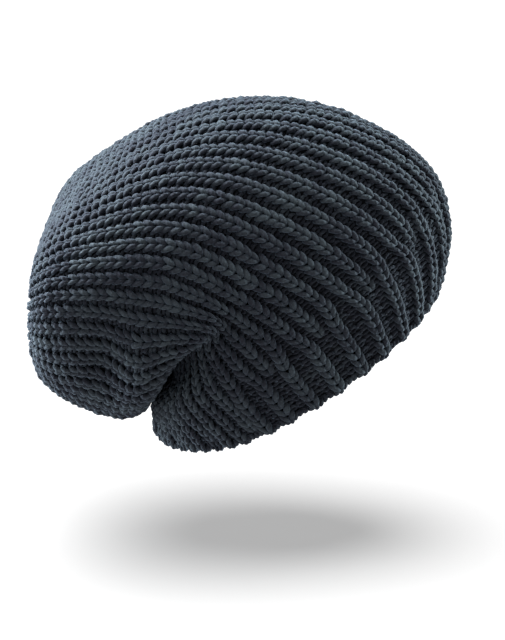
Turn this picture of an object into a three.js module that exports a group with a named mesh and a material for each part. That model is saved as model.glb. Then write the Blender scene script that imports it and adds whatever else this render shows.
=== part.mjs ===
import * as THREE from 'three';

// Slouchy knitted cap in millimetres, +Z up. The wearer faces +X and y = 0 is the middle plane.
// The origin is the middle of the head opening.

// Overall sizes of the soft form, which the tables below follow
const capLength = 260;
const capWidth = 216;
const capHeight = 213;

// Knit: each repeat has two ribs at the rim and three in the body
const wallThickness = 4.5;
const ribRelief = 1.8;
const rimPitch = 15.6; // from rib to rib along the rim
const firstRepeat = 0.64; // of a repeat, from the front
const sideIncreaseRow = 1.5; // in sections from the rim
const frontIncreaseRow = 2.1;
const increaseLength = 0.35;

// Crown closing
const eyeletRadius = 4.6;
const yarnRadius = 1.3;
const yarnClearance = 0.3;

// Mesh of the closing yarn
const yarnSides = 6;
const yarnSteps = 20;

// Each section is a closed loop round the cap, from the head opening to the back of the slouch.
// front and back are where it crosses the middle plane and side is its widest place, as shares of
// capLength, capHeight and, last in side, half-width as a share of capWidth.
const sections = [
  { name: 'rim', front: [0.347, 0.223], side: [-0.003, -0.033, 0.398], back: [-0.347, -0.223] },
  { name: 'band', front: [0.37, 0.366], side: [-0.062, 0.065, 0.417], back: [-0.349, -0.15] },
  { name: 'temple', front: [0.348, 0.52], side: [-0.112, 0.146, 0.435], back: [-0.333, -0.075] },
  { name: 'crownLow', front: [0.259, 0.646], side: [-0.155, 0.205, 0.449], back: [-0.288, 0] },
  { name: 'crownHigh', front: [0.114, 0.738], side: [-0.193, 0.239, 0.463], back: [-0.327, 0.013] },
  { name: 'top', front: [-0.059, 0.777], side: [-0.25, 0.282, 0.477], back: [-0.368, -0.095] },
  { name: 'slouchFront', front: [-0.217, 0.753], side: [-0.313, 0.318, 0.491], back: [-0.414, -0.154] },
  { name: 'slouchMiddle', front: [-0.358, 0.682], side: [-0.394, 0.338, 0.5], back: [-0.479, -0.147] },
  { name: 'slouchBack', front: [-0.472, 0.582], side: [-0.487, 0.345, 0.495], back: [-0.538, -0.117] },
  { name: 'turnStart', front: [-0.544, 0.499], side: [-0.567, 0.328, 0.463], back: [-0.577, -0.085] },
  { name: 'turnEnd', front: [-0.592, 0.423], side: [-0.608, 0.286, 0.394], back: [-0.611, -0.046] },
  { name: 'rear', front: [-0.616, 0.317], side: [-0.613, 0.226, 0.241], back: [-0.624, 0.026] },
];
const crownEnd = [-0.615, 0.137];

// How each section departs from a plain loop, one row for each section above. lean crowds the ribs
// towards the front and back, in radians. front and back push the quarters out, as shares of capLength
// and capHeight, with back's last of capWidth, and turn shifts the widest place, as a share of capWidth.
// relief scales the ribs all round and nape those at the back, where they lie in the crease. steps is
// how many rows of faces lead to the next section.
const shaping = [
  { lean: 0, front: [0.008, 0.012], back: [0.015, 0, 0], turn: -0.028, relief: 1, nape: 1, steps: 2 },
  { lean: 0.02, front: [0.004, 0.014], back: [0, 0, 0], turn: -0.023, relief: 1, nape: 0.9, steps: 3 },
  { lean: 0.04, front: [0, 0], back: [-0.012, 0, 0], turn: -0.014, relief: 1, nape: 0.5, steps: 4 },
  { lean: 0.05, front: [0, 0], back: [-0.004, 0.005, -0.042], turn: 0, relief: 1, nape: 0.2, steps: 4 },
  { lean: 0.04, front: [0, 0], back: [0.015, 0.042, -0.065], turn: 0, relief: 1, nape: 0.6, steps: 4 },
  { lean: 0.02, front: [0, 0], back: [0.023, 0.038, 0.005], turn: 0, relief: 1, nape: 1, steps: 3 },
  { lean: -0.02, front: [0, 0], back: [0.023, -0.002, 0.023], turn: 0, relief: 1, nape: 1, steps: 3 },
  { lean: -0.06, front: [0, 0], back: [0.015, -0.019, -0.005], turn: 0, relief: 1, nape: 1, steps: 2 },
  { lean: -0.1, front: [0, 0], back: [0.012, -0.009, 0.005], turn: 0, relief: 1, nape: 1, steps: 2 },
  { lean: -0.13, front: [0, 0], back: [0.008, -0.014, 0], turn: 0, relief: 0.9, nape: 1, steps: 2 },
  { lean: -0.14, front: [0, 0], back: [0, 0, 0], turn: 0, relief: 0.7, nape: 1, steps: 2 },
  { lean: -0.08, front: [0, 0], back: [0, 0, 0], turn: 0, relief: 0.45, nape: 1, steps: 2 },
];
const drawnIn = { lean: 0, front: [0, 0], back: [0, 0, 0], turn: 0, relief: 0.05, nape: 1 };

// Lips and rolls pressed into both sides. around is in degrees from the front and row in sections from
// the rim, each with its spread. push is X, outward Y and Z as shares of the overall sizes.
const folds = [
  { name: 'lip', around: 101, spread: 10, row: 4.95, rows: 0.9, push: [0.035, 0.009, 0.005] },
  { name: 'lipStart', around: 92, spread: 8, row: 4.45, rows: 0.7, push: [0.019, 0.012, 0.014] },
  { name: 'crease', around: 91, spread: 9, row: 3.75, rows: 0.5, push: [0, -0.019, 0] },
  { name: 'roll', around: 114, spread: 14, row: 6.5, rows: 0.5, push: [0, 0.012, -0.014] },
  { name: 'hollow', around: 116, spread: 16, row: 7.4, rows: 0.45, push: [0, -0.016, 0.005] },
];

// The six columns of a repeat at the rim, where the first rib is still missing. place is a share of a
// repeat and level a share of ribRelief. In the body the columns are even, with ribs and valleys by turns.
const rimColumns = [
  { place: 0, level: -1 },
  { place: 0.125, level: -0.7 },
  { place: 0.25, level: 1 },
  { place: 0.5, level: -1 },
  { place: 0.75, level: 1 },
  { place: 0.875, level: -0.7 },
];

// As many whole repeats as fit round the rim, which is taken as an ellipse
function repeatCount() {
  const rim = sections[0];
  const deep = (rim.front[0] - rim.back[0]) * capLength;
  const high = (rim.front[1] - rim.back[1]) * capHeight;
  const wide = 2 * rim.side[2] * capWidth;
  const girth = Math.PI * Math.sqrt((deep ** 2 + high ** 2 + wide ** 2) / 2);
  return Math.round(girth / (2 * rimPitch));
}

const repeats = repeatCount();

function naturalSpline(knots, values) {
  const last = knots.length - 1;
  const bend = new Array(last + 1).fill(0);
  const carry = new Array(last + 1).fill(0);
  for (let i = 1; i < last; i += 1) {
    const before = knots[i] - knots[i - 1];
    const after = knots[i + 1] - knots[i];
    const turn = (values[i + 1] - values[i]) / after - (values[i] - values[i - 1]) / before;
    const pivot = 2 * (before + after) - before * carry[i - 1];
    carry[i] = after / pivot;
    bend[i] = (6 * turn - before * bend[i - 1]) / pivot;
  }
  for (let i = last - 1; i > 0; i -= 1) {
    bend[i] -= carry[i] * bend[i + 1];
  }
  return (at) => {
    let i = 0;
    while (i < last - 1 && at > knots[i + 1]) {
      i += 1;
    }
    const span = knots[i + 1] - knots[i];
    const low = (knots[i + 1] - at) / span;
    const high = 1 - low;
    const cubic = ((low ** 3 - low) * bend[i] + (high ** 3 - high) * bend[i + 1]) * (span ** 2 / 6);
    return low * values[i] + high * values[i + 1] + cubic;
  };
}

function inMillimetres(section, shape) {
  return {
    frontX: section.front[0] * capLength,
    frontZ: section.front[1] * capHeight,
    sideX: section.side[0] * capLength,
    sideZ: section.side[1] * capHeight,
    sideY: section.side[2] * capWidth,
    backX: section.back[0] * capLength,
    backZ: section.back[1] * capHeight,
    frontSwellX: shape.front[0] * capLength,
    frontSwellZ: shape.front[1] * capHeight,
    backSwellX: shape.back[0] * capLength,
    backSwellZ: shape.back[1] * capHeight,
    backSwellY: shape.back[2] * capWidth,
    sideTurn: shape.turn * capWidth,
    lean: shape.lean,
    relief: shape.relief,
    nape: shape.nape,
  };
}

// The last section is the round eyelet that the crown's stitches are drawn up to
function eyeletSection() {
  const eyelet = inMillimetres({ front: crownEnd, side: [...crownEnd, 0], back: crownEnd }, drawnIn);
  eyelet.frontZ += eyeletRadius;
  eyelet.backZ -= eyeletRadius;
  eyelet.sideY = eyeletRadius;
  return eyelet;
}

// Splines through the sections, over their distance along the cap
function makeForm() {
  const loops = sections.map((section, i) => inMillimetres(section, shaping[i]));
  loops.push(eyeletSection());
  const knots = [0];
  for (let i = 1; i < loops.length; i += 1) {
    const a = loops[i - 1];
    const b = loops[i];
    const frontRun = Math.hypot(b.frontX - a.frontX, b.frontZ - a.frontZ);
    const sideRun = Math.hypot(b.sideX - a.sideX, b.sideY - a.sideY, b.sideZ - a.sideZ);
    knots.push(knots[i - 1] + Math.sqrt(frontRun * sideRun));
  }
  const names = Object.keys(loops[0]);
  const splines = names.map((name) => naturalSpline(knots, loops.map((loop) => loop[name])));
  const loopAt = (along) => Object.fromEntries(names.map((name, k) => [name, splines[k](along)]));
  return { knots, loopAt };
}

const form = makeForm();

// Where a place along the cap lies, counted in sections from the rim
function rowNumber(along) {
  let i = 0;
  while (i < form.knots.length - 2 && along > form.knots[i + 1]) {
    i += 1;
  }
  return i + (along - form.knots[i]) / (form.knots[i + 1] - form.knots[i]);
}

// A point of the smooth form, turn radians from the front towards the wearer's right
function formPoint(loop, row, turn) {
  const around = turn + loop.lean * Math.sin(2 * turn);
  const ahead = Math.cos(around);
  const aside = Math.sin(around);
  const side = Math.sign(aside);
  const quarter = Math.sin(2 * around) ** 2;
  const frontShare = ahead > 0 ? quarter : 0;
  const fromFront = Math.acos(THREE.MathUtils.clamp(ahead, -1, 1));
  const pastSide = Math.max(fromFront / (Math.PI / 2) - 1, 0);
  const backShare = Math.sin(Math.PI * pastSide ** 0.7) ** 2;
  const middleX = (loop.frontX + loop.backX) / 2;
  const middleZ = (loop.frontZ + loop.backZ) / 2;
  const point = new THREE.Vector3(
    middleX + (loop.frontX - middleX) * ahead + (loop.sideX - middleX) * aside ** 2,
    -(loop.sideY * aside + loop.sideTurn * Math.sin(2 * around) + loop.backSwellY * backShare * side),
    middleZ + (loop.frontZ - middleZ) * ahead + (loop.sideZ - middleZ) * aside ** 2,
  );
  point.x += loop.frontSwellX * frontShare + loop.backSwellX * backShare;
  point.z += loop.frontSwellZ * frontShare + loop.backSwellZ * backShare;
  for (const fold of folds) {
    const offAround = (THREE.MathUtils.radToDeg(fromFront) - fold.around) / fold.spread;
    const offRow = (row - fold.row) / fold.rows;
    const weight = Math.exp(-(offAround ** 2) - offRow ** 2);
    point.x += fold.push[0] * capLength * weight;
    point.y -= fold.push[1] * capWidth * weight * side;
    point.z += fold.push[2] * capHeight * weight;
  }
  return point;
}

// The loop at a place along the cap, with those just before and after it for the surface's slope
function loopSet(along) {
  const length = form.knots.at(-1);
  const near = length / 2000;
  const before = Math.max(along - near, 0);
  const after = Math.min(along + near, length);
  return [before, along, after].map((place) => ({ loop: form.loopAt(place), row: rowNumber(place) }));
}

function pointAndNormal(set, turn) {
  const near = Math.PI / 2000;
  const [before, here, after] = set;
  const up = formPoint(after.loop, after.row, turn).sub(formPoint(before.loop, before.row, turn));
  const onward = formPoint(here.loop, here.row, turn + near);
  onward.sub(formPoint(here.loop, here.row, turn - near));
  return { point: formPoint(here.loop, here.row, turn), normal: up.cross(onward).normalize() };
}

// How far a column has changed from the rim's ribs to the body's, 0 to 1
function bodyShare(row, turn) {
  const ahead = Math.max(Math.cos(turn), 0);
  const increaseRow = sideIncreaseRow + (frontIncreaseRow - sideIncreaseRow) * ahead ** 2;
  return THREE.MathUtils.smoothstep(row, increaseRow - increaseLength, increaseRow + increaseLength);
}

// The turn of a column and how high it stands, from -1 in a valley to 1 on a rib
function ribColumn(row, index) {
  const perRepeat = rimColumns.length;
  const column = rimColumns[index % perRepeat];
  const bodyPlace = (index % perRepeat) / perRepeat;
  const repeat = Math.floor(index / perRepeat) + firstRepeat;
  const toTurn = (2 * Math.PI) / repeats;
  const body = bodyShare(row, (repeat + bodyPlace) * toTurn);
  const bodyLevel = index % 2 === 0 ? 1 : -1;
  return {
    turn: (repeat + THREE.MathUtils.lerp(column.place, bodyPlace, body)) * toTurn,
    level: THREE.MathUtils.lerp(column.level, bodyLevel, body),
  };
}

// Places along the cap of the rows of faces
function faceRows() {
  const rows = [];
  shaping.forEach((shape, i) => {
    const span = form.knots[i + 1] - form.knots[i];
    for (let k = 0; k < shape.steps; k += 1) {
      rows.push(form.knots[i] + (span * k) / shape.steps);
    }
  });
  rows.push(form.knots.at(-1));
  return rows;
}

// The knitted body: a ribbed outer wall and a plain inner wall, joined at the rim and at the eyelet
function knitBody() {
  const outerCount = repeats * rimColumns.length;
  const innerCount = outerCount / 2;
  const rows = faceRows();
  const outer = [];
  const inner = [];
  for (const along of rows) {
    const set = loopSet(along);
    const { row, loop } = set[1];
    for (let j = 0; j < outerCount; j += 1) {
      const { turn, level } = ribColumn(row, j);
      const { point, normal } = pointAndNormal(set, turn);
      const back = THREE.MathUtils.smoothstep(-Math.cos(turn), 0, 0.4);
      const relief = ribRelief * loop.relief * THREE.MathUtils.lerp(1, loop.nape, back);
      if (j % 2 === 0) {
        inner.push(point.clone().addScaledVector(normal, -wallThickness));
      }
      outer.push(point.addScaledVector(normal, relief * level));
    }
  }
  const faces = [];
  const outerAt = (i, j) => i * outerCount + (j % outerCount);
  const innerAt = (i, k) => outer.length + i * innerCount + (k % innerCount);
  for (let i = 0; i + 1 < rows.length; i += 1) {
    for (let j = 0; j < outerCount; j += 1) {
      faces.push(outerAt(i, j), outerAt(i + 1, j), outerAt(i + 1, j + 1));
      faces.push(outerAt(i, j), outerAt(i + 1, j + 1), outerAt(i, j + 1));
    }
    for (let k = 0; k < innerCount; k += 1) {
      faces.push(innerAt(i, k), innerAt(i + 1, k + 1), innerAt(i + 1, k));
      faces.push(innerAt(i, k), innerAt(i, k + 1), innerAt(i + 1, k + 1));
    }
  }
  const edge = (i, first, second) => {
    for (let k = 0; k < innerCount; k += 1) {
      const ends = [outerAt(i, 2 * k), outerAt(i, 2 * k + 1), outerAt(i, 2 * k + 2)];
      const walls = [innerAt(i, k), innerAt(i, k + 1)];
      const strip = [
        [ends[0], ends[1], walls[0]],
        [ends[1], walls[1], walls[0]],
        [ends[1], ends[2], walls[1]],
      ];
      strip.forEach((face) => faces.push(face[0], face[first], face[second]));
    }
  };
  edge(0, 1, 2);
  edge(rows.length - 1, 2, 1);
  const geometry = new THREE.BufferGeometry().setFromPoints([...outer, ...inner]);
  geometry.setIndex(faces);
  geometry.computeVertexNormals();
  return geometry;
}

// The ring of yarn drawn through the last stitches, half a wall inside the eyelet
function closingYarn() {
  const ringRadius = eyeletRadius - yarnClearance - yarnRadius - ribRelief * drawnIn.relief;
  const ring = new THREE.TorusGeometry(ringRadius, yarnRadius, yarnSides, yarnSteps);
  ring.rotateY(Math.PI / 2);
  return ring;
}

const wool = new THREE.MeshStandardMaterial({ color: 0x24292b, roughness: 0.95, metalness: 0 });
const yarn = new THREE.MeshStandardMaterial({ color: 0x1e2325, roughness: 0.95, metalness: 0 });

const cap = new THREE.Group();

const body = new THREE.Mesh(knitBody(), wool);
body.name = 'knit_body';
cap.add(body);

const closing = new THREE.Mesh(closingYarn(), yarn);
closing.name = 'closing_yarn';
closing.position.set(crownEnd[0] * capLength + wallThickness / 2, 0, crownEnd[1] * capHeight);
cap.add(closing);

export default cap;
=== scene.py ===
import math

import bpy
import numpy as np
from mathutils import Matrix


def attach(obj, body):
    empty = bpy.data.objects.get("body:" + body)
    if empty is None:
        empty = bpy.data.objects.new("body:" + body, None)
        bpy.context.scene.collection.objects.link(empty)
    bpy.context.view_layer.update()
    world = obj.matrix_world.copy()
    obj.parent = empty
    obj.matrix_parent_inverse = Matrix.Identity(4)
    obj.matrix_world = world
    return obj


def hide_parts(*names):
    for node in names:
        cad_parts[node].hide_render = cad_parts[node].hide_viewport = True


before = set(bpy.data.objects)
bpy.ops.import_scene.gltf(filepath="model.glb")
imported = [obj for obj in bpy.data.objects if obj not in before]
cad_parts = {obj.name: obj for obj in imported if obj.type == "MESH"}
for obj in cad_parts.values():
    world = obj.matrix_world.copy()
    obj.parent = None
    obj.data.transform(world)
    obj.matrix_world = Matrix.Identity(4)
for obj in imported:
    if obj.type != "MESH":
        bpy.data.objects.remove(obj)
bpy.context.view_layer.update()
bpy.ops.object.select_all(action="DESELECT")
print("frame loaded")

mm = 0.001

# The form of the worn cap, as the CAD has it
cap = {
    "length": 0.260,
    "width": 0.216,
    "height": 0.213,
    "wall": 4.5 * mm,
    "repeats": 19,
    "firstRepeat": 0.64,  # of a repeat, from the front
    "sideIncreaseRow": 1.5,  # in sections from the rim
    "frontIncreaseRow": 2.1,
    "napeIncreaseRow": -1.0,  # so all three ribs start at the rim there
    "increaseLength": 0.35,
    "napeIncreaseBand": (0.1, 0.5),  # how far behind the side the nape's row sets in and holds
    "napeReliefBand": (0, 0.4),
    "backSwellSkew": 0.7,
    "eyeletRadius": 4.6 * mm,
    "crownEnd": (-0.615, 0.137),
}

# One row for each section, from the rim to the back of the slouch, as shares of the cap's sizes:
# front x and z, side x, z and half-width, back x and z
sectionRows = (
    (0.347, 0.223, -0.003, -0.033, 0.398, -0.347, -0.223),
    (0.37, 0.366, -0.062, 0.065, 0.417, -0.349, -0.15),
    (0.348, 0.52, -0.112, 0.146, 0.435, -0.333, -0.075),
    (0.259, 0.646, -0.155, 0.205, 0.449, -0.288, 0),
    (0.114, 0.738, -0.193, 0.239, 0.463, -0.327, 0.013),
    (-0.059, 0.777, -0.25, 0.282, 0.477, -0.368, -0.095),
    (-0.217, 0.753, -0.313, 0.318, 0.491, -0.414, -0.154),
    (-0.358, 0.682, -0.394, 0.338, 0.5, -0.479, -0.147),
    (-0.472, 0.582, -0.487, 0.345, 0.495, -0.538, -0.117),
    (-0.544, 0.499, -0.567, 0.328, 0.463, -0.577, -0.085),
    (-0.592, 0.423, -0.608, 0.286, 0.394, -0.611, -0.046),
    (-0.616, 0.317, -0.613, 0.226, 0.241, -0.624, 0.026),
)

# How each section departs from a plain loop: lean, front swell x and z, back swell x, z and y,
# turn of the widest place, relief of the ribs all round and at the nape
shapeRows = (
    (0, 0.008, 0.012, 0.015, 0, 0, -0.028, 1, 1),
    (0.02, 0.004, 0.014, 0, 0, 0, -0.023, 1, 1),
    (0.04, 0, 0, -0.012, 0, 0, -0.014, 1, 0.9),
    (0.05, 0, 0, -0.004, 0.005, -0.042, 0, 1, 0.5),
    (0.04, 0, 0, 0.015, 0.042, -0.065, 0, 1, 0.8),
    (0.02, 0, 0, 0.023, 0.038, 0.005, 0, 1, 1),
    (-0.02, 0, 0, 0.023, -0.002, 0.023, 0, 1, 1),
    (-0.06, 0, 0, 0.015, -0.019, -0.005, 0, 1, 1),
    (-0.1, 0, 0, 0.012, -0.009, 0.005, 0, 1, 1),
    (-0.13, 0, 0, 0.008, -0.014, 0, 0, 0.9, 1),
    (-0.14, 0, 0, 0, 0, 0, 0, 0.7, 1),
    (-0.08, 0, 0, 0, 0, 0, 0, 0.45, 1),
    (0, 0, 0, 0, 0, 0, 0, 0.05, 1),
)

# Lips and rolls pressed into both sides: degrees from the front and their spread, row and its
# spread, then push x, outward y and z
foldRows = (
    (101, 10, 4.95, 0.9, 0.035, 0.009, 0.005),
    (92, 8, 4.45, 0.7, 0.019, 0.012, 0.014),
    (91, 9, 3.75, 0.5, 0, -0.019, 0),
    (114, 14, 6.5, 0.5, 0, 0.020, -0.016),
    (116, 16, 7.4, 0.45, 0, -0.024, 0.005),
)


def smoothstep(low, high, value):
    share = np.clip((value - low) / (high - low), 0, 1)
    return share * share * (3 - 2 * share)


def naturalSpline(knots, rows):
    # Second derivatives of a natural cubic through the rows, all columns at once
    count = len(knots)
    span = np.diff(knots)
    system = np.eye(count)
    slopes = np.diff(rows, axis=0) / span[:, None]
    goal = np.zeros_like(rows)
    for i in range(1, count - 1):
        system[i, i - 1:i + 2] = span[i - 1], 2 * (span[i - 1] + span[i]), span[i]
        goal[i] = 6 * (slopes[i] - slopes[i - 1])
    bend = np.linalg.solve(system, goal)

    def at(places):
        i = np.clip(np.searchsorted(knots, places, side="left") - 1, 0, count - 2)
        low = ((knots[i + 1] - places) / span[i])[:, None]
        high = 1 - low
        cubic = (low ** 3 - low) * bend[i] + (high ** 3 - high) * bend[i + 1]
        return low * rows[i] + high * rows[i + 1] + cubic * (span[i] ** 2 / 6)[:, None]

    return at


def capLoops():
    sizes = np.array([cap["length"], cap["height"]])
    loops = []
    for section, shape in zip(sectionRows, shapeRows):
        front, side, back = section[0:2] * sizes, section[2:4] * sizes, section[5:7] * sizes
        swell = np.array([*(shape[1:3] * sizes), *(shape[3:5] * sizes), shape[5] * cap["width"]])
        loops.append([*front, *side, section[4] * cap["width"], *back, *swell,
                      shape[6] * cap["width"], shape[0], shape[7], shape[8]])
    end, radius = np.array(cap["crownEnd"]) * sizes, cap["eyeletRadius"]
    top, bottom = end + (0, radius), end - (0, radius)
    shape = shapeRows[-1]
    loops.append([*top, *end, radius, *bottom, 0, 0, 0, 0, 0, 0, shape[0], shape[7], shape[8]])
    loops = np.array(loops)
    frontRun = np.linalg.norm(np.diff(loops[:, 0:2], axis=0), axis=1)
    sideRun = np.linalg.norm(np.diff(loops[:, [2, 3, 4]], axis=0), axis=1)
    knots = np.concatenate([[0], np.cumsum(np.sqrt(frontRun * sideRun))])
    return knots, naturalSpline(knots, loops)


loopKnots, loopAt = capLoops()
capRun = loopKnots[-1]


def rowNumber(along):
    return np.interp(along, loopKnots, np.arange(len(loopKnots)))


def formPoints(along, turns):
    # Points of the smooth form: one line for each place along, one column for each turn
    columns = [column[:, None] for column in loopAt(along).T]
    frontX, frontZ, sideX, sideZ, sideY, backX, backZ = columns[0:7]
    swellFrontX, swellFrontZ, swellBackX, swellBackZ, swellBackY, sideTurn, lean = columns[7:14]
    row = rowNumber(along)[:, None]
    around = turns[None, :] + lean * np.sin(2 * turns)[None, :]
    ahead, aside = np.cos(around), np.sin(around)
    side = np.sign(aside)
    fromFront = np.arccos(np.clip(ahead, -1, 1))
    frontShare = np.where(ahead > 0, np.sin(2 * around) ** 2, 0)
    pastSide = np.clip(fromFront / (math.pi / 2) - 1, 0, None)
    backShare = np.sin(math.pi * pastSide ** cap["backSwellSkew"]) ** 2
    middleX, middleZ = (frontX + backX) / 2, (frontZ + backZ) / 2
    x = middleX + (frontX - middleX) * ahead + (sideX - middleX) * aside ** 2
    z = middleZ + (frontZ - middleZ) * ahead + (sideZ - middleZ) * aside ** 2
    y = -(sideY * aside + sideTurn * np.sin(2 * around) + swellBackY * backShare * side)
    x = x + swellFrontX * frontShare + swellBackX * backShare
    z = z + swellFrontZ * frontShare + swellBackZ * backShare
    for degrees, spread, foldRow, rows, pushX, pushY, pushZ in foldRows:
        offAround = (np.degrees(fromFront) - degrees) / spread
        weight = np.exp(-offAround ** 2 - ((row - foldRow) / rows) ** 2)
        x = x + pushX * cap["length"] * weight
        y = y - pushY * cap["width"] * weight * side
        z = z + pushZ * cap["height"] * weight
    return np.stack([x, y, z], axis=-1)


# The form is worked out once on a fine net, and everything is laid on it from there
net = {"rows": 900, "turns": 1440, "topGap": 0.001}  # the gap keeps the last place in a row
netAlong = np.linspace(0, capRun, net["rows"])
netTurn = np.linspace(0, 2 * math.pi, net["turns"] + 1)
netPoints = formPoints(netAlong, netTurn)


def netNormals():
    up = np.gradient(netPoints, netAlong, axis=0)
    nearTurn = netTurn[1] - netTurn[0]
    rounds = netPoints[:, :-1]
    onward = (np.roll(rounds, -1, axis=1) - np.roll(rounds, 1, axis=1)) / (2 * nearTurn)
    onward = np.concatenate([onward, onward[:, :1]], axis=1)
    normal = np.cross(up, onward)
    normal /= np.linalg.norm(normal, axis=-1, keepdims=True)
    up = up / np.linalg.norm(up, axis=-1, keepdims=True)
    return normal, up, np.linalg.norm(onward, axis=-1, keepdims=True)


netFacts = np.concatenate([netPoints, *netNormals()], axis=-1)


def onCap(along, turn):
    # Point, outward normal, way up the cap and metres for each radian of turn
    last = net["rows"] - 1
    i = np.clip(along / capRun * last, 0, last - net["topGap"])
    j = np.mod(turn, 2 * math.pi) / (2 * math.pi) * net["turns"]
    i0 = i.astype(int)
    j0 = np.minimum(j.astype(int), net["turns"] - 1)
    fi, fj = (i - i0)[..., None], (j - j0)[..., None]
    low = netFacts[i0, j0] * (1 - fj) + netFacts[i0, j0 + 1] * fj
    high = netFacts[i0 + 1, j0] * (1 - fj) + netFacts[i0 + 1, j0 + 1] * fj
    facts = low * (1 - fi) + high * fi
    return facts[..., 0:3], facts[..., 3:6], facts[..., 6:9], facts[..., 9]


def reliefAt(along, turn):
    # How high the ribs stand there, as a share of their full height
    relief, nape = loopAt(np.ravel(along))[:, -2:].T.reshape(2, *np.shape(along))
    back = smoothstep(*cap["napeReliefBand"], -np.cos(turn))
    return relief * (1 + (nape - 1) * back)


def bodyShare(row, turn):
    # How far the rim's two ribs have become the body's three
    side, front, nape = cap["sideIncreaseRow"], cap["frontIncreaseRow"], cap["napeIncreaseRow"]
    middle = side + (front - side) * np.clip(np.cos(turn), 0, None) ** 2
    middle = middle + (nape - side) * smoothstep(*cap["napeIncreaseBand"], -np.cos(turn))
    return smoothstep(middle - cap["increaseLength"], middle + cap["increaseLength"], row)


repeatTurn = 2 * math.pi / cap["repeats"]
print("form laid out")

# Columns of stitches in a repeat. Each has its place at the rim, in the body, after the first
# decrease and after the second, as shares of the repeat, and the change of ribs that it starts
# and ends at.
decreases = {"first": 10.35, "second": 11.25, "length": 0.3}
# Shares of the increase at which the new rib starts and the twin valley columns are one again
increase = {"newRibFrom": 0.1, "twinUpTo": 0.5}
ribLines = {
    "newRib": {"places": (0, 0, 0, 0), "starts": "increase", "ends": None},
    "nearRib": {"places": (1 / 4, 1 / 3, 1 / 2, 1 / 2), "starts": None, "ends": "second"},
    "farRib": {"places": (3 / 4, 2 / 3, 1 / 2, 1 / 2), "starts": None, "ends": "first"},
}
valleyLines = {
    "nearValley": {"places": (0.075, 1 / 6, 1 / 4, 1 / 2), "starts": None, "ends": None},
    "midValley": {"places": (0.425, 1 / 2, 1 / 2, 1 / 2), "starts": None, "ends": "first"},
    "midValleyTwin": {"places": (0.575, 0.575, 0.575, 0.575), "starts": None, "ends": "increase"},
    "farValley": {"places": (0.925, 5 / 6, 3 / 4, 1 / 2), "starts": None, "ends": "second"},
}


def linePath(line, repeat):
    # One column of stitches up the cap: where it runs, its length so far and its room sideways
    rim, body, crown, close = line["places"]
    bodyTurn = (repeat + cap["firstRepeat"] + body) * repeatTurn
    row = rowNumber(netAlong)
    share = bodyShare(row, bodyTurn)
    half = decreases["length"]
    first = smoothstep(decreases["first"] - half, decreases["first"] + half, row)
    second = smoothstep(decreases["second"] - half, decreases["second"] + half, row)
    place = rim + (body - rim) * share
    place = place + (crown - place) * first
    place = place + (close - place) * second
    turn = (repeat + cap["firstRepeat"] + place) * repeatTurn
    ribs = 2 + share - first - second  # in a repeat
    room = repeatTurn / ribs * onCap(netAlong, turn)[3]
    present = share >= increase["newRibFrom"] if line["starts"] else np.ones(len(row), bool)
    if line["ends"] == "increase":
        present &= share <= increase["twinUpTo"]
    elif line["ends"]:
        present &= row <= decreases[line["ends"]]
    along, turn, room = netAlong[present], turn[present], room[present]
    points = onCap(along, turn)[0]
    length = np.concatenate([[0], np.cumsum(np.linalg.norm(np.diff(points, axis=0), axis=1))])
    return {"along": along, "turn": turn, "room": room, "length": length}


def modelStrand(name, rows, sides):
    # A tapered strand of yarn through rows of lateral, along, height and radius, in mm
    bpy.ops.curve.primitive_nurbs_path_add()
    strand = bpy.context.object
    strand.name = name
    strand.data.dimensions = "3D"
    strand.data.bevel_depth = mm
    strand.data.bevel_resolution = (sides - 4) // 2  # a bevel has 4 sides, and 2 more a step
    path = strand.data.splines[0]
    path.type = "POLY"
    for point, (lateral, along, height, radius) in zip(path.points, rows):
        point.co = (lateral * mm, along * mm, height * mm, 1)
        point.radius = radius
    bpy.ops.object.convert(target="MESH")
    bpy.ops.object.mode_set(mode="EDIT")
    bpy.ops.mesh.select_all(action="SELECT")
    bpy.ops.mesh.fill_holes(sides=sides)
    bpy.ops.mesh.normals_make_consistent(inside=False)
    bpy.ops.object.mode_set(mode="OBJECT")
    return bpy.context.object


def strandPattern(strand, rows, sides):
    # The strand's mesh as arrays. Its map holds how far along and around each corner is.
    mesh = strand.data
    corners = np.zeros(len(mesh.vertices) * 3)
    mesh.vertices.foreach_get("co", corners)
    loops = np.zeros(len(mesh.loops), int)
    mesh.loops.foreach_get("vertex_index", loops)
    sizes = np.zeros(len(mesh.polygons), int)
    mesh.polygons.foreach_get("loop_total", sizes)
    centre = np.array(rows)[:, 0:3]
    run = np.concatenate([[0], np.cumsum(np.linalg.norm(np.diff(centre, axis=0), axis=1))])
    ring, spoke = np.divmod(np.arange(len(mesh.vertices)), sides)
    uv = np.stack([run[ring][loops], (spoke / sides)[loops]], axis=-1)
    start, halfRound = 0, 0.5
    for size in sizes:  # the last face round reaches on to 1 instead of back to 0
        face = uv[start:start + size, 1]
        if size == 4 and np.ptp(face) > halfRound:
            face[face < halfRound] += 1
        start += size
    bpy.data.objects.remove(strand)
    return {"corners": corners.reshape(-1, 3), "loops": loops, "sizes": sizes, "uv": uv}


def mirrored(pattern, flip):
    # The same strand leaning the other way, with its faces turned to point outwards
    order = []
    start = 0
    for size in pattern["sizes"]:
        order.extend(range(start + size - 1, start - 1, -1))
        start += size
    return {
        "corners": pattern["corners"] * np.array(flip),
        "loops": pattern["loops"][order],
        "sizes": pattern["sizes"],
        "uv": pattern["uv"][order] * (1, -1),
    }


def smoothed(piece):
    bpy.ops.object.select_all(action="DESELECT")
    piece.select_set(True)
    bpy.context.view_layer.objects.active = piece
    bpy.ops.object.shade_smooth()
    piece.select_set(False)


# A stitch's tone is partly its own and partly painted shade by height: the deeper, the darker
heightShade = {"low": -4 * mm, "high": 2.4 * mm, "share": 0.62}


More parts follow.
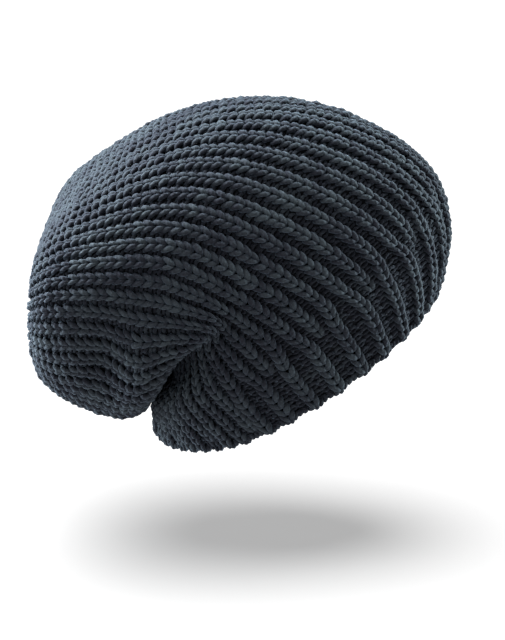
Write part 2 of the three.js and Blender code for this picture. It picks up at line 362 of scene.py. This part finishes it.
def joinedMesh(name, parts):
    # One mesh from laid copies: (points of every copy, the pattern, a tone for every copy)
    points, loops, sizes, uv, tones = [], [], [], [], []
    base = 0
    for copies, pattern, tone in parts:
        count, corners = copies.shape[0:2]
        points.append(copies.reshape(-1, 3))
        shift = base + corners * np.arange(count)
        loops.append((pattern["loops"][None, :] + shift[:, None]).ravel())
        sizes.append(np.tile(pattern["sizes"], count))
        uv.append(np.tile(pattern["uv"], (count, 1)))
        # Painted shade: the lower a corner lies in its strand, the darker its tone
        rise = pattern["corners"][:, 2]
        rise = np.clip((rise - heightShade["low"]) / (heightShade["high"] - heightShade["low"]), 0, 1)
        own = 1 - heightShade["share"]
        tones.append((own * tone[:, None] + heightShade["share"] * rise[None, :]).ravel())
        base += count * corners
    points, loops, sizes = np.concatenate(points), np.concatenate(loops), np.concatenate(sizes)
    mesh = bpy.data.meshes.new(name)
    mesh.vertices.add(len(points))
    mesh.vertices.foreach_set("co", points.ravel())
    mesh.loops.add(len(loops))
    mesh.loops.foreach_set("vertex_index", loops)
    mesh.polygons.add(len(sizes))
    mesh.polygons.foreach_set("loop_start", np.concatenate([[0], np.cumsum(sizes)[:-1]]))
    mesh.uv_layers.new(name="twist").data.foreach_set("uv", np.concatenate(uv).ravel())
    mesh.attributes.new("tone", "FLOAT", "POINT").data.foreach_set("value", np.concatenate(tones))
    mesh.update()
    mesh.validate()
    piece = bpy.data.objects.new(name, mesh)
    bpy.context.collection.objects.link(piece)
    smoothed(piece)
    return piece


chance = np.random.default_rng(7)


def layCopies(path, pattern, centres, wide, tall):
    # Copies of a strand on the cap, bent to follow its surface. Centres are lengths up the column.
    lateral, up, height = pattern["corners"].T
    length = centres[:, None] + up[None, :]
    held = np.clip(length, 0, path["length"][-1])
    along = np.interp(held, path["length"], path["along"])
    middle = np.interp(held, path["length"], path["turn"])
    perTurn = onCap(along, middle)[3]
    turn = middle + lateral[None, :] * wide[:, None] / perTurn
    point, normal, way, _ = onCap(along, turn)
    over = (length - held)[..., None]
    return point + normal * (height[None, :] * tall[:, None])[..., None] + way * over


# How every column is laid, unless its stitch says otherwise
columnLay = {
    "pitch": 5.4 * mm,
    "ribPitch": 11.5 * mm,  # the room sideways that a stitch is modelled for
    "belowMiddle": 0.38,  # of a pitch, from a stitch's middle down to where it is modelled from
    "narrowest": 0.1,
    "widest": 1.05,
    "leastRelief": 0.12,
    "reach": math.inf,
    "depth": 0,
    "rimLift": 0,
    "sunken": 0,
    "growth": (-0.5, 4),  # a new rib rises from its sunken start over these stitches
}

# A knit stitch is two plump legs that rise out of the stitch below. Lateral, along, height, radius.
knitStitch = {
    **columnLay,
    "leg": (
        (0.5, -2.2, -1.5, 0.95),
        (0.95, -0.6, -0.05, 1.45),
        (1.85, 1.5, 0.4, 1.8),
        (2.85, 3.5, -0.4, 1.65),
        (3.7, 5.1, -2.2, 1.1),
    ),
    "sides": 6,
    "looseness": 0.25 * mm,
    "unevenness": 0.08,
    "sunken": 2.2 * mm,  # how deep in the valley a new rib starts
}

# A purl stitch shows as a short arch across the valley, with the next stitch's foot below it
purlStitch = {
    **columnLay,
    "arch": (
        (-3.1, -1.1, -3.0, 0.9),
        (-1.5, 0.4, -2.2, 1.15),
        (0, 0.9, -1.9, 1.2),
        (1.5, 0.4, -2.2, 1.15),
        (3.1, -1.1, -3.0, 0.9),
    ),
    "foot": (
        (-3.0, 4.1, -3.2, 0.85),
        (-1.4, 3.3, -2.7, 1.1),
        (0, 3.0, -2.5, 1.15),
        (1.4, 3.3, -2.7, 1.1),
        (3.0, 4.1, -3.2, 0.85),
    ),
    "sides": 6,
    "looseness": 0.15 * mm,
    "unevenness": 0.12,
    "rimLift": 0.3 * mm,  # the wide valleys of the rim lie less deep
}


def columnCentres(path, pitch):
    # Evenly spaced middles of the stitches up a column
    count = max(int(round(path["length"][-1] / pitch)), 1)
    return (np.arange(count) + 0.5) * path["length"][-1] / count


def laidColumns(line, patterns, stitch):
    # Every repeat's column of one line, as parts for joinedMesh
    parts = []
    for repeat in range(cap["repeats"]):
        path = linePath(line, repeat)
        if len(path["along"]) < 2:
            continue  # at the nape the twin column has ended before the rim
        centres = columnCentres(path, stitch["pitch"]) - stitch["pitch"] * stitch["belowMiddle"]
        centres = centres[centres < stitch["reach"]]
        count = len(centres)
        room = np.interp(centres, path["length"], path["room"])
        along = np.interp(centres, path["length"], path["along"])
        turn = np.interp(centres, path["length"], path["turn"])
        wide = np.clip(room / stitch["ribPitch"], stitch["narrowest"], stitch["widest"])
        tall = np.clip(reliefAt(along, turn), stitch["leastRelief"], 1)
        height = stitch["depth"] + stitch["rimLift"] * (1 - bodyShare(rowNumber(along), turn))
        if line["starts"]:
            grown = smoothstep(*stitch["growth"], np.arange(count))
            height = height - stitch["sunken"] * (1 - grown)
        slack = chance.normal(0, stitch["looseness"], (2, count))
        tone = chance.random(count)
        lift = onCap(along, turn)[1] * (height + slack[1])[:, None]
        for pattern in patterns:
            plump = chance.normal(1, stitch["unevenness"], (2, count))
            copies = layCopies(path, pattern, centres + slack[0], wide * plump[0], tall * plump[1])
            parts.append((copies + lift[:, None, :], pattern, tone))
    return parts


def strandOf(name, rows, sides):
    return strandPattern(modelStrand(name, rows, sides), rows, sides)


leg = strandOf("knitLeg", knitStitch["leg"], knitStitch["sides"])
stitchLegs = (leg, mirrored(leg, (-1, 1, 1)))
ribs = {}
for name, line in ribLines.items():
    ribs[name] = joinedMesh(f"{name}_stitches", laidColumns(line, stitchLegs, knitStitch))
print("ribs knitted:", sum(len(piece.data.polygons) for piece in ribs.values()), "faces")

arch = strandOf("purlArch", purlStitch["arch"], purlStitch["sides"])
foot = strandOf("purlFoot", purlStitch["foot"], purlStitch["sides"])
valleys = {}
for name, pattern in (("purl_arches", arch), ("purl_feet", foot)):
    parts = []
    for line in valleyLines.values():
        parts += laidColumns(line, (pattern,), purlStitch)
    valleys[name] = joinedMesh(name, parts)

# Inside, the valleys show as ribs. They are knitted as far up as the opening lets them be seen.
innerStitch = {
    **columnLay,
    "reach": 0.085,
    "depth": -4.2 * mm,
    "rise": 0.75,  # height of the inner legs beside the outer ones
    "leastRelief": 1,
    "looseness": 0.12 * mm,
    "unevenness": 0.05,
}


def innerRibs():
    inward = mirrored(leg, (1, 1, -innerStitch["rise"]))
    legs = (inward, mirrored(inward, (-1, 1, 1)))
    parts = []
    for line in valleyLines.values():
        parts += laidColumns(line, legs, innerStitch)
    return joinedMesh("inner_ribs", parts)


valleys["inner_ribs"] = innerRibs()
print("valleys purled:", sum(len(piece.data.polygons) for piece in valleys.values()), "faces")

# The ground is the wall of yarn behind the stitches, seen between them and inside
# It lies deep in shade, and its wool is darkened further with painted shade
ground = {
    "columns": cap["repeats"] * 12,
    "weld": 0.01 * mm,
    "rows": 125,
    "depth": -1.9 * mm,
    "relief": 0.5 * mm,
    "thickness": 2.6 * mm,
}
rimColumns = {
    "place": (0, 0.125, 0.25, 0.5, 0.75, 0.875, 1),
    "level": (-1, -0.7, 1, -1, 1, -0.7, -1),
}
bodyRibs = 3  # in a repeat


def ribLevel(along, turn):
    # Height of the ribbing from -1 in a valley to 1 on a rib
    place = np.mod(turn / repeatTurn - cap["firstRepeat"], 1)
    rim = np.interp(place, rimColumns["place"], rimColumns["level"])
    body = np.cos(2 * math.pi * bodyRibs * place)
    share = bodyShare(rowNumber(along), turn)
    return rim + (body - rim) * share


def groundSheet():
    # An open tube laid on the form, then given the wall's thickness
    columns, rows = ground["columns"], ground["rows"]
    bpy.ops.mesh.primitive_grid_add(x_subdivisions=columns, y_subdivisions=rows, size=1)
    sheet = bpy.context.object
    sheet.name = "knit_ground"
    mesh = sheet.data
    flat = np.zeros(len(mesh.vertices) * 3)
    mesh.vertices.foreach_get("co", flat)
    flat = flat.reshape(-1, 3) + 0.5  # the grid runs from a half below 0 to a half above it
    turn = flat[:, 0] * 2 * math.pi
    along = flat[:, 1] * capRun
    point, normal, _, _ = onCap(along, turn)
    height = ground["depth"] + ground["relief"] * ribLevel(along, turn) * reliefAt(along, turn)
    mesh.vertices.foreach_set("co", (point + normal * height[:, None]).ravel())
    mesh.attributes.new("tone", "FLOAT", "POINT")
    bpy.ops.object.mode_set(mode="EDIT")
    bpy.ops.mesh.select_all(action="SELECT")
    bpy.ops.mesh.remove_doubles(threshold=ground["weld"])
    bpy.ops.mesh.normals_make_consistent(inside=False)
    bpy.ops.object.mode_set(mode="OBJECT")
    wall = sheet.modifiers.new("wall", "SOLIDIFY")
    wall.thickness = ground["thickness"]
    wall.offset = -1
    bpy.ops.object.modifier_apply(modifier="wall")
    bpy.ops.object.shade_smooth()
    sheet.select_set(False)
    return sheet


knitGround = groundSheet()
print("ground laid:", len(knitGround.data.polygons), "faces")

# The cast-on edge wraps the rim, from the outside under it to the inside
castOn = {
    "count": 190,
    "wrap": (
        (-1.9, 1.9, -0.6, 1.05),
        (-1.0, -0.3, -0.8, 1.45),
        (0, -1.4, -2.2, 1.55),
        (1.0, -0.3, -3.6, 1.45),
        (1.9, 1.9, -4.0, 1.05),
    ),
    "sides": 6,
    "scallop": 1.7 * mm,
    "swell": 0.35,  # of the scallop, outwards on a rib and inwards in a valley
}


def castOnEdge():
    wrap = strandOf("castOnWrap", castOn["wrap"], castOn["sides"])
    turn = np.arange(castOn["count"]) * 2 * math.pi / castOn["count"]
    lateral, up, height = wrap["corners"].T
    _, _, _, perTurn = onCap(np.zeros_like(turn), turn)
    turns = turn[:, None] + lateral[None, :] / perTurn[:, None]
    point, normal, way, _ = onCap(np.zeros_like(turns), turns)
    level = ribLevel(np.zeros_like(turns), turns)
    drop = (up[None, :] - castOn["scallop"] * (level + 1) / 2)[..., None]
    raised = (height[None, :] + castOn["swell"] * castOn["scallop"] * level)[..., None]
    copies = point + normal * raised + way * drop
    return joinedMesh("cast_on_edge", [(copies, wrap, chance.random(castOn["count"]))])


edge = castOnEdge()
print("edge cast on")

# The crown's last stitches are drawn up by a ring of two twisted plies
closing = {
    "plies": 2,
    "ringRadius": 2.9 * mm,
    "plyRadius": 0.75 * mm,
    "plyReach": 0.6 * mm,  # how far a ply's middle is from the ring's
    "twists": 7,
    "steps": 96,
    "bevel": 1,
}


def closingRing():
    plies = []
    turn = np.linspace(0, 2 * math.pi, closing["steps"], endpoint=False)
    centre = np.array(cap["crownEnd"]) * (cap["length"], cap["height"])
    for ply in range(closing["plies"]):
        bpy.ops.curve.primitive_nurbs_path_add()
        strand = bpy.context.object
        strand.data.dimensions = "3D"
        strand.data.bevel_depth = closing["plyRadius"]
        strand.data.bevel_resolution = closing["bevel"]
        path = strand.data.splines[0]
        path.type = "POLY"
        path.points.add(closing["steps"] - len(path.points))
        phase = closing["twists"] * turn + 2 * math.pi * ply / closing["plies"]
        reach = closing["ringRadius"] + closing["plyReach"] * np.cos(phase)
        x = centre[0] + cap["wall"] / 2 + closing["plyReach"] * np.sin(phase)
        y, z = reach * np.sin(turn), centre[1] + reach * np.cos(turn)
        for point, place in zip(path.points, np.stack([x, y, z], axis=-1)):
            point.co = (*place, 1)
        path.use_cyclic_u = True
        bpy.ops.object.convert(target="MESH")
        plies.append(bpy.context.object)
    for ply in plies:
        ply.select_set(True)
    bpy.ops.object.join()
    joined = bpy.context.object
    joined.name = "closing_ring"
    joined.data.attributes.new("tone", "FLOAT", "POINT")
    bpy.ops.object.mode_set(mode="EDIT")
    bpy.ops.mesh.select_all(action="SELECT")
    bpy.ops.mesh.normals_make_consistent(inside=False)
    bpy.ops.object.mode_set(mode="OBJECT")
    bpy.ops.object.transform_apply(location=True, rotation=True, scale=True)
    smoothed(joined)
    return joined


ring = closingRing()
print("crown closed")

# Charcoal wool with a blue-green cast. Tones run from one stitch to the next.
# The tone's height share paints shade low in the crevices and a highlight on each stitch's top
wool = {
    "deep": (0.0042, 0.0038, 0.0060),
    "plain": (0.0100, 0.0098, 0.0140),
    "bright": (0.027, 0.033, 0.038),
    "darkest": 0.34,  # where the colours begin and end on the mixed tone
    "lightest": 0.66,
    # the mixed tone: soft patches, stitch tones with painted height shade, flecks in the yarn
    "patches": {"Scale": 34, "Detail": 3},
    "toneShare": 0.7,
    "flecks": {"Scale": 420, "Detail": 3, "Roughness": 0.7},
    "fleckShare": 0.7,
    "surface": {
        "Roughness": 0.92,
        "Specular IOR Level": 0.12,
        "Sheen Roughness": 0.6,
        "Sheen Tint": (0.55, 0.75, 1.0, 1),
    },
    "sheen": 0.12,
    "fibres": {"Scale": 900, "Detail": 4},
    "fuzz": {"Strength": 0.7, "Distance": 0.0007},
    "ridges": {"Strength": 0.4, "Distance": 0.0003},
    "twistTurns": 2.0,  # ply ridges round a strand
    "twistLean": 420.0,  # ridges along it, for each metre of strand
    # Factors on each material's colours and sheen. The ground's darkens its wool as painted shade.
    "knitShade": 1.0,
    "groundPaintedShade": 0.45,
    "closingShade": 0.9,
}


def setInputs(tree, node, values):
    # Numbers and colours go on the socket, and another node's output is linked to it
    for socket, value in values.items():
        if isinstance(value, bpy.types.NodeSocket):
            tree.links.new(value, node.inputs[socket])
        else:
            node.inputs[socket].default_value = value
    return node


def addNode(tree, kind, values):
    return setInputs(tree, tree.nodes.new(kind), values)


def addMath(tree, operation, *values):
    node = addNode(tree, "ShaderNodeMath", dict(enumerate(values)))
    node.operation = operation
    return node.outputs[0]


def twistNormal(tree):
    # Ridges of the plies, slanting round each strand
    strand = tree.nodes.new("ShaderNodeUVMap")
    strand.uv_map = "twist"
    parts = addNode(tree, "ShaderNodeSeparateXYZ", {0: strand.outputs["UV"]})
    lean = addMath(tree, "MULTIPLY", parts.outputs["X"], wool["twistLean"] * mm * 2 * math.pi)
    turns = wool["twistTurns"] * 2 * math.pi
    around = addMath(tree, "MULTIPLY_ADD", parts.outputs["Y"], turns, lean)
    wave = addMath(tree, "SINE", around)
    ridges = addNode(tree, "ShaderNodeBump", {"Height": wave, **wool["ridges"]})
    return ridges.outputs["Normal"]


def woolMaterial(name, shade, twisted):
    material = bpy.data.materials.new(name)
    material.use_nodes = True
    tree = material.node_tree
    place = tree.nodes.new("ShaderNodeTexCoord").outputs["Object"]
    patches, flecks, fibres = (
        addNode(tree, "ShaderNodeTexNoise", {"Vector": place, **wool[noise]}).outputs["Fac"]
        for noise in ("patches", "flecks", "fibres")
    )
    # The tone attribute holds each stitch's own tone and the painted shade of its height
    tone = tree.nodes.new("ShaderNodeAttribute")
    tone.attribute_name = "tone"
    mixed = addMath(tree, "MULTIPLY_ADD", tone.outputs["Fac"], wool["toneShare"], patches)
    flecked = addMath(tree, "MULTIPLY_ADD", flecks, wool["fleckShare"], mixed)
    whole = 1 + wool["toneShare"] + wool["fleckShare"]
    scaled = addMath(tree, "MULTIPLY", flecked, 1 / whole)
    colours = addNode(tree, "ShaderNodeValToRGB", {"Fac": scaled})
    ramp = colours.color_ramp
    ramp.elements[0].position, ramp.elements[1].position = wool["darkest"], wool["lightest"]
    ramp.elements.new((wool["darkest"] + wool["lightest"]) / 2)
    for element, colour in zip(ramp.elements, ("deep", "plain", "bright")):
        element.color = [part * shade for part in wool[colour]] + [1]
    fuzz = addNode(tree, "ShaderNodeBump", {"Height": fibres, **wool["fuzz"]})
    if twisted:
        setInputs(tree, fuzz, {"Normal": twistNormal(tree)})
    setInputs(tree, tree.nodes["Principled BSDF"], {
        **wool["surface"],
        "Sheen Weight": wool["sheen"] * shade,
        "Base Color": colours.outputs["Color"],
        "Normal": fuzz.outputs["Normal"],
    })
    return material


knitWool = woolMaterial("knit wool", wool["knitShade"], True)
# The ground's wool is painted darker, as painted shade between the stitches and inside
shadedGroundWool = woolMaterial("ground wool in painted shade", wool["groundPaintedShade"], False)
closingWool = woolMaterial("closing wool", wool["closingShade"], False)

for piece in (*ribs.values(), *valleys.values(), edge):
    piece.data.materials.append(knitWool)
    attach(piece, "root")
    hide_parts("knit_body")
knitGround.data.materials.append(shadedGroundWool)
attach(knitGround, "root")
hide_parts("knit_body")
ring.data.materials.append(closingWool)
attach(ring, "root")
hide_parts("closing_yarn")

print("materials and frame set")

# Camera at the photograph's angle. The cap hangs above a pale floor, as in the photograph.
photoView = {
    "target": (-0.03617, 0, 0.05683),
    "elevation": 18,
    "distance": 1.1,
    "focal": 1735,  # in pixels of the photograph
    "imageWidth": 505,
    "imageHeight": 640,
    "targetPixel": (238, 270),
    "sensor": 36,
    "clipStart": 0.01,
}


def setCamera():
    tilt = math.radians(photoView["elevation"])
    back, up = photoView["distance"] * math.cos(tilt), photoView["distance"] * math.sin(tilt)
    x, y, z = photoView["target"]
    turn = (math.pi / 2 - tilt, 0, 0)
    bpy.ops.object.camera_add(location=(x, y - back, z + up), rotation=turn)
    camera = bpy.context.object
    wide, high = photoView["imageWidth"], photoView["imageHeight"]
    across, down = photoView["targetPixel"]
    camera.data.sensor_fit = "HORIZONTAL"
    camera.data.sensor_width = photoView["sensor"]
    camera.data.lens = photoView["sensor"] * photoView["focal"] / wide
    camera.data.shift_x = (wide / 2 - across) / wide
    camera.data.shift_y = (down - high / 2) / wide
    camera.data.clip_start = photoView["clipStart"]
    bpy.context.scene.camera = camera


setCamera()

studio = {
    "floorLevel": -0.125,
    "floorSize": 40,
    "floorFall": 7,  # degrees down behind the cap, which flattens the shadow as in the photo
    "floorColour": (0.93, 0.93, 0.93, 1),
    "floorRoughness": 0.9,
    "floorGlow": 0.45,
    "world": (1.0, 1.0, 1.0, 1),
    "worldStrength": 0.04,
    # name, place, size, watts and colour of each soft light, all aimed at the cap
    "lights": (
        ("keyLight", (-1.0, 0.25, 0.95), 0.7, 88, (0.93, 0.98, 1.0)),
        ("sideLight", (-1.3, 0.25, 0.12), 0.5, 32, (0.88, 0.98, 1.0)),
        ("edgeLight", (1.15, 0.4, 0.45), 0.7, 56, (0.90, 1.0, 0.98)),
        ("fillLight", (-1.1, -0.8, 0.4), 0.6, 6, (0.95, 0.97, 1.0)),
    ),
    # a wide soft light overhead: how strong, how wide in degrees, its lean and its place
    "overhead": {"strength": 2.85, "spread": 56, "lean": (0, -0.22, 0), "place": (0, 0, 2)},
}


def addFloor():
    fall = (-math.radians(studio["floorFall"]), 0, 0)
    place = (0, 0, studio["floorLevel"])
    bpy.ops.mesh.primitive_plane_add(size=studio["floorSize"], location=place, rotation=fall)
    floor = bpy.context.object
    floor.name = "floor"
    pale = bpy.data.materials.new("pale floor")
    pale.use_nodes = True
    setInputs(pale.node_tree, pale.node_tree.nodes["Principled BSDF"], {
        "Base Color": studio["floorColour"],
        "Roughness": studio["floorRoughness"],
        "Emission Color": studio["floorColour"],
        "Emission Strength": studio["floorGlow"],
    })
    floor.data.materials.append(pale)
    return floor


def addLights(floor):
    # The soft lights light the cap alone, so its shadow lies straight below it
    lit = bpy.data.collections.new("lit by the soft lights")
    lit.objects.link(floor)
    lit.collection_objects[0].light_linking.link_state = "EXCLUDE"
    aim = np.array(photoView["target"])
    for name, place, size, watts, colour in studio["lights"]:
        bpy.ops.object.light_add(type="AREA", location=place)
        light = bpy.context.object
        light.name = name
        light.data.size = size
        light.data.energy = watts
        light.data.color = colour
        light.light_linking.receiver_collection = lit
        away = np.array(place) - aim
        level = math.hypot(away[0], away[1])
        light.rotation_euler = (math.atan2(level, away[2]), 0, math.atan2(away[0], -away[1]))
    overhead = studio["overhead"]
    bpy.ops.object.light_add(type="SUN", location=overhead["place"], rotation=overhead["lean"])
    sun = bpy.context.object
    sun.name = "overheadLight"
    sun.data.energy = overhead["strength"]
    sun.data.angle = math.radians(overhead["spread"])


def setWorld():
    world = bpy.context.scene.world or bpy.data.worlds.new("studio")
    bpy.context.scene.world = world
    world.use_nodes = True
    setInputs(world.node_tree, world.node_tree.nodes["Background"], {
        "Color": studio["world"],
        "Strength": studio["worldStrength"],
    })
    bpy.context.scene.view_settings.view_transform = "Standard"


addLights(addFloor())
setWorld()
print("studio lit")
